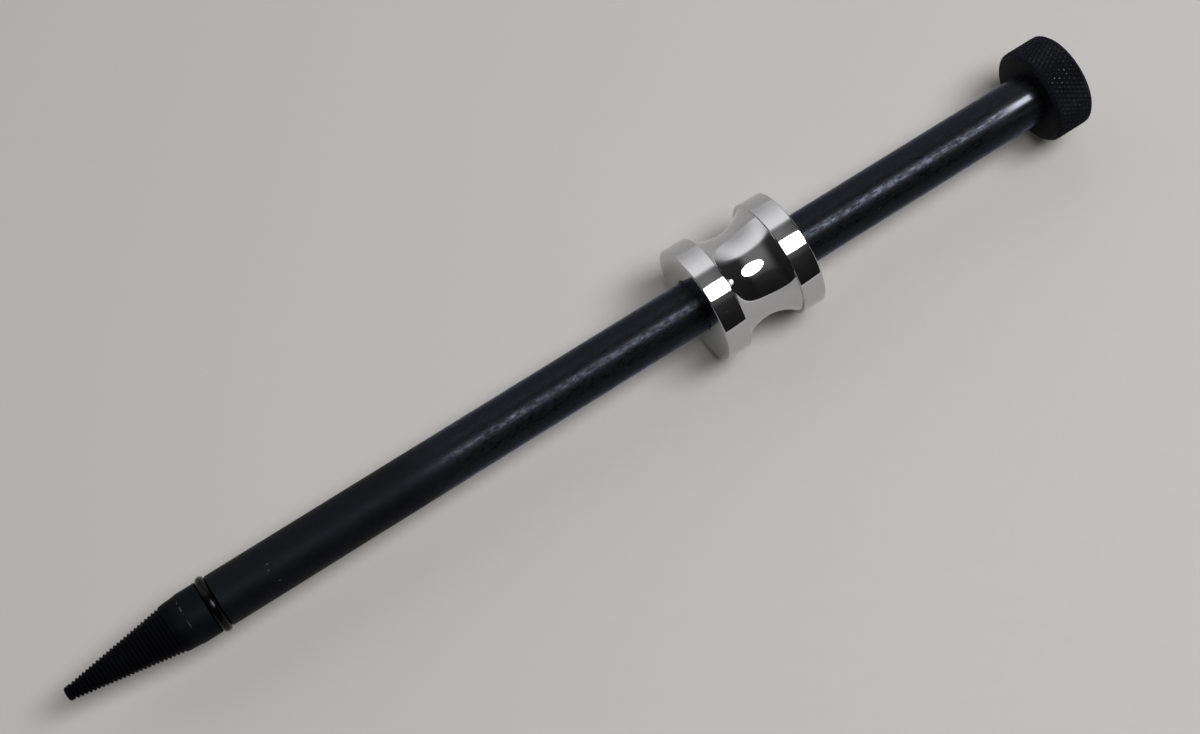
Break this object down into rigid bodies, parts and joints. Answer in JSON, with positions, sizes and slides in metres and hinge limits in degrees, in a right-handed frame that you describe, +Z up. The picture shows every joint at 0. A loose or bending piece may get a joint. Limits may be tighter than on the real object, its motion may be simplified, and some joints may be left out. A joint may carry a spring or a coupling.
{
  "type": "slide-hammer puller",
  "caption": "Slide-hammer puller: a round rod with a tapered self-threading tip, a rubber ring, a sliding spool-shaped weight and a knurled stop cap.",
  "frame": {"origin": "under the middle of the tool's length and on its centre plane, level with the lowest point of the weight", "axes": "+X along the rod from the threaded tip to the knurled cap, +Z up, with the tool lying on its side"},
  "size_m": [0.301, 0.0326, 0.0326],
  "materials": {
    "tip_steel": "black oxide, dull, with cut thread",
    "ring_rubber": "smooth black rubber",
    "rod_steel": "black oxide, satin, scuffed by the weight",
    "weight_chrome": "polished chrome plate",
    "cap_steel": "black oxide, diamond knurl on the rim"
  },
  "bodies": {
    "shaft": {"rod": "rod_steel", "threaded_tip": "tip_steel", "o_ring": "ring_rubber", "knurled_cap": "cap_steel"},
    "weight": {"sliding_weight": "weight_chrome"}
  },
  "joints": [
    {"name": "weight_slide", "type": "slide", "parent": "shaft", "child": "weight", "axis": [1, 0, 0], "range_m": [-0.1402, 0.0774]}
  ]
}
